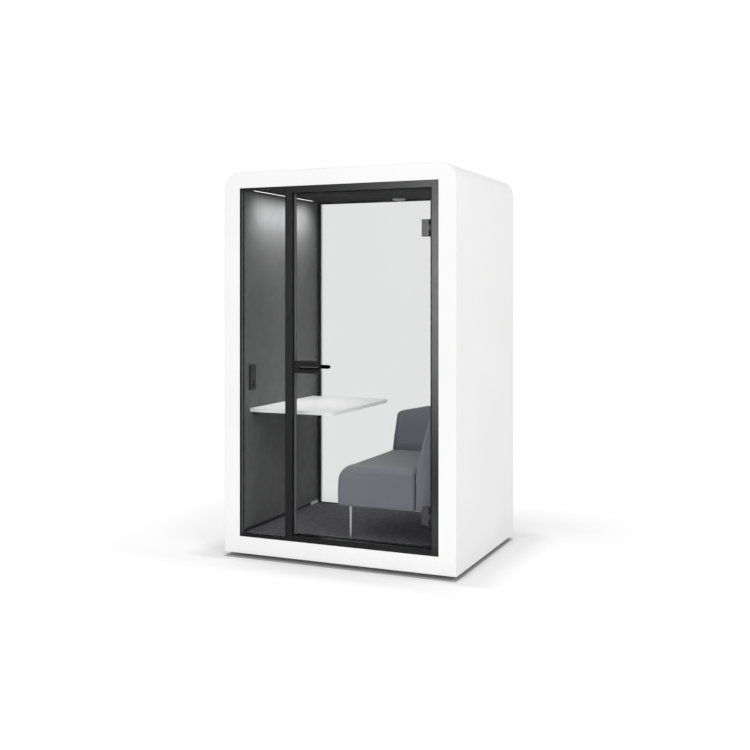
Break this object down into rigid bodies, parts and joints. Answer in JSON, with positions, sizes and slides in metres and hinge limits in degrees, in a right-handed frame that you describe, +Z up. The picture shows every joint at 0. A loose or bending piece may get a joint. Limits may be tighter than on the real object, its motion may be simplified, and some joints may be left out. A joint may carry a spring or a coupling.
{
  "type": "acoustic office pod",
  "caption": "Free-standing acoustic office pod: white shell, felt-lined cabin with wall table and corner sofa, fixed glazing and a hinged glass door with lever lock.",
  "frame": {"origin": "middle of the overall footprint, on the floor", "axes": "+X to the right of the door side, +Y from the door side to the back, +Z up"},
  "size_m": [1.47, 1.154, 2.3],
  "materials": {
    "white_lacquer": "fine satin powder coat, white",
    "white_plastic": "matt moulded plastic, light grey",
    "zinc_steel": "zinc-plated steel",
    "plywood": "bare birch plywood",
    "carpet": "low loop carpet, charcoal",
    "acoustic_wool": "bonded acoustic fibre",
    "wall_felt": "needled felt, dark grey",
    "ceiling_felt": "needled felt, near black",
    "anthracite_frame": "fine-texture powder coat, anthracite",
    "black_plastic": "matt moulded plastic, black",
    "led_aluminium": "anodised aluminium",
    "led_opal": "opal diffuser",
    "clear_glass": "clear laminated acoustic glass",
    "black_rubber": "black rubber",
    "black_hardware": "satin black coated metal",
    "clear_seal": "translucent soft seal",
    "white_laminate": "matt white laminate",
    "grey_upholstery": "woven wool-blend upholstery, blue grey",
    "satin_steel": "satin steel"
  },
  "bodies": {
    "root": {"outer_shell": "white_lacquer", "front_surround": "white_lacquer", "back_surround": "white_lacquer", "base_tray": "zinc_steel", "floor_board": "plywood", "carpet": "carpet", "left_wall_core": "acoustic_wool", "right_wall_core": "acoustic_wool", "left_felt_panel": "wall_felt", "right_felt_panel": "wall_felt", "left_skirting": "anthracite_frame", "right_skirting": "anthracite_frame", "air_inlet_grille": "white_lacquer", "roof_core": "acoustic_wool", "ceiling_panel": "ceiling_felt", "led_driver": "black_plastic", "roof_vent_grille": "white_lacquer", "fan_frame": "black_plastic", "led_profile": "led_aluminium", "led_diffuser": "led_opal", "presence_sensor": "white_plastic", "sidelight_channel": "anthracite_frame", "sidelight_glass": "clear_glass", "mullion": "anthracite_frame", "door_head": "anthracite_frame", "door_jamb": "anthracite_frame", "door_sill": "anthracite_frame", "strike_plate": "zinc_steel", "door_stop_seal": "black_rubber", "hinge_bracket_upper": "black_hardware", "hinge_bracket_lower": "black_hardware", "back_frame": "anthracite_frame", "back_glass": "clear_glass", "table_top": "white_laminate", "table_bracket": "black_hardware", "sofa_seat": "grey_upholstery", "sofa_back": "grey_upholstery", "sofa_wing": "grey_upholstery", "sofa_underframe": "satin_steel", "power_bezel": "black_plastic", "power_socket": "black_plastic", "mains_inlet": "black_plastic"},
    "door": {"door_glass": "clear_glass", "door_edge_seal_upper": "clear_seal", "door_edge_seal_lower": "clear_seal", "hinge_clamp_upper": "black_hardware", "hinge_clamp_lower": "black_hardware", "lock_body": "zinc_steel", "lock_cover_outer": "black_hardware", "lock_cover_inner": "black_hardware"},
    "lever": {"lever_outer": "black_hardware", "lever_inner": "black_hardware", "lever_spindle": "zinc_steel"},
    "latch": {"latch_bolt": "zinc_steel"},
    "fan": {"fan_impeller": "black_plastic"},
    "switch": {"light_switch": "black_plastic"},
    "foot_front_left": {"foot_front_left": "black_rubber"},
    "foot_front_right": {"foot_front_right": "black_rubber"},
    "foot_back_left": {"foot_back_left": "black_rubber"},
    "foot_back_right": {"foot_back_right": "black_rubber"}
  },
  "joints": [
    {"name": "door_hinge", "type": "hinge", "parent": "root", "child": "door", "pos_m": [0.578, -0.517, 1.145], "axis": [0, 0, 1], "range_deg": [0, 95]},
    {"name": "lever_turn", "type": "hinge", "parent": "door", "child": "lever", "pos_m": [-0.2074, -0.508, 1.145], "axis": [0, 1, 0], "range_deg": [0, 40], "stiffness_Nm_per_rad": 2},
    {"name": "latch_slide", "type": "slide", "parent": "door", "child": "latch", "axis": [1, 0, 0], "range_m": [0, 0.01]},
    {"name": "fan_spin", "type": "hinge", "parent": "root", "child": "fan", "pos_m": [0.18, 0.018, 2.225], "axis": [0, 0, 1], "continuous": true},
    {"name": "switch_rock", "type": "hinge", "parent": "root", "child": "switch", "pos_m": [-0.6262, -0.3935, 1.106], "axis": [0, 1, 0], "range_deg": [-4, 4]},
    {"name": "foot_front_left_screw", "type": "slide", "parent": "root", "child": "foot_front_left", "axis": [0, 0, -1], "range_m": [0, 0.015]},
    {"name": "foot_front_right_screw", "type": "slide", "parent": "root", "child": "foot_front_right", "axis": [0, 0, -1], "range_m": [0, 0.015]},
    {"name": "foot_back_left_screw", "type": "slide", "parent": "root", "child": "foot_back_left", "axis": [0, 0, -1], "range_m": [0, 0.015]},
    {"name": "foot_back_right_screw", "type": "slide", "parent": "root", "child": "foot_back_right", "axis": [0, 0, -1], "range_m": [0, 0.015]}
  ],
  "couplings": [
    {"joint": "latch_slide", "follows": "lever_turn", "m_per_rad": 0.01432}
  ]
}
